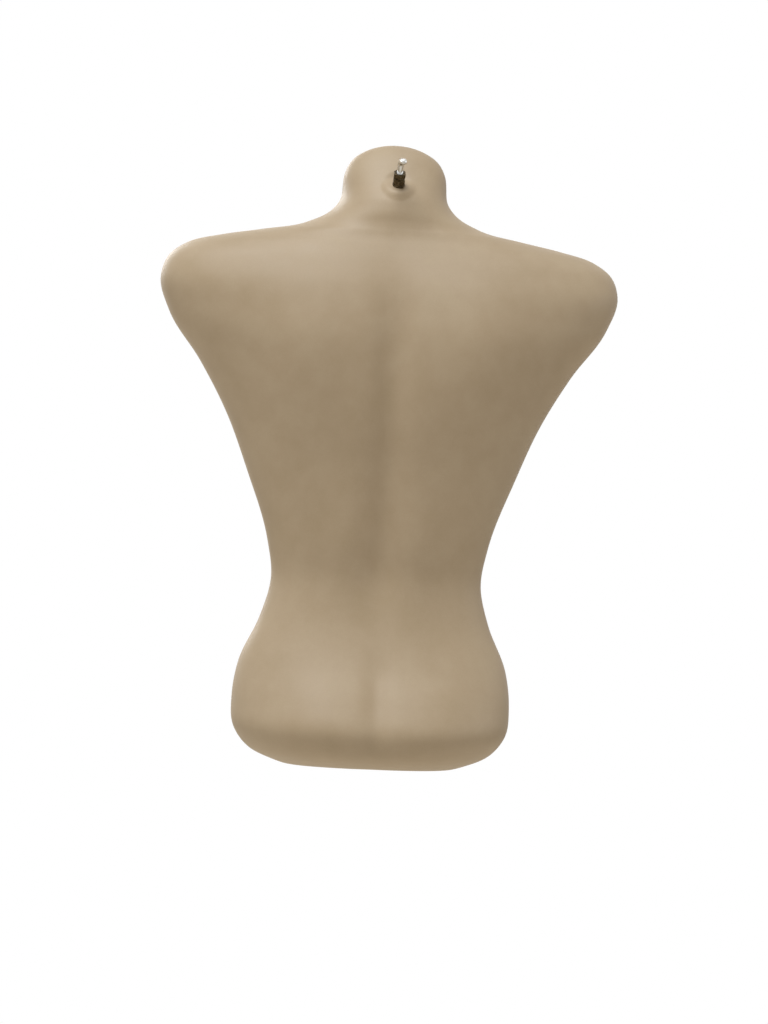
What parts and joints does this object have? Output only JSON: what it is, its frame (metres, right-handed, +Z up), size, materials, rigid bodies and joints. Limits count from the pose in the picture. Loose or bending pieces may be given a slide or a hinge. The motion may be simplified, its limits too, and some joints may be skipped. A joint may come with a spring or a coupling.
{
  "type": "hanging torso form",
  "caption": "Headless, armless hanging display torso of moulded half shells, turning on a bent steel hook bolted through the back of the neck.",
  "frame": {"origin": "crook of the hook: the point under the hook's arm that bears on the rail", "axes": "+Z up, from the sole to the top of the neck; the chest faces -Y, the back and the hook face +Y; +X is across the shoulders"},
  "size_m": [0.45, 0.1774, 0.61],
  "materials": {
    "moulded_shell": "satin moulded, skin tone",
    "zinc_steel": "zinc plated",
    "chromed_rod": "bright chrome",
    "darkened_steel": "oiled dark steel"
  },
  "bodies": {
    "hook": {"hook": "chromed_rod", "outer_nut": "darkened_steel", "spring_washer": "darkened_steel", "outer_lock_nut": "darkened_steel", "inner_nut": "darkened_steel", "inner_lock_nut": "darkened_steel"},
    "torso": {"front_shell": "moulded_shell", "back_shell": "moulded_shell", "outer_washer": "zinc_steel", "backing_plate": "zinc_steel", "inner_washer": "zinc_steel"}
  },
  "joints": [
    {"name": "torso_swivel", "type": "hinge", "parent": "hook", "child": "torso", "pos_m": [0, -0.03392, -0.01618], "axis": [0, 0.6428, 0.766], "continuous": true}
  ]
}
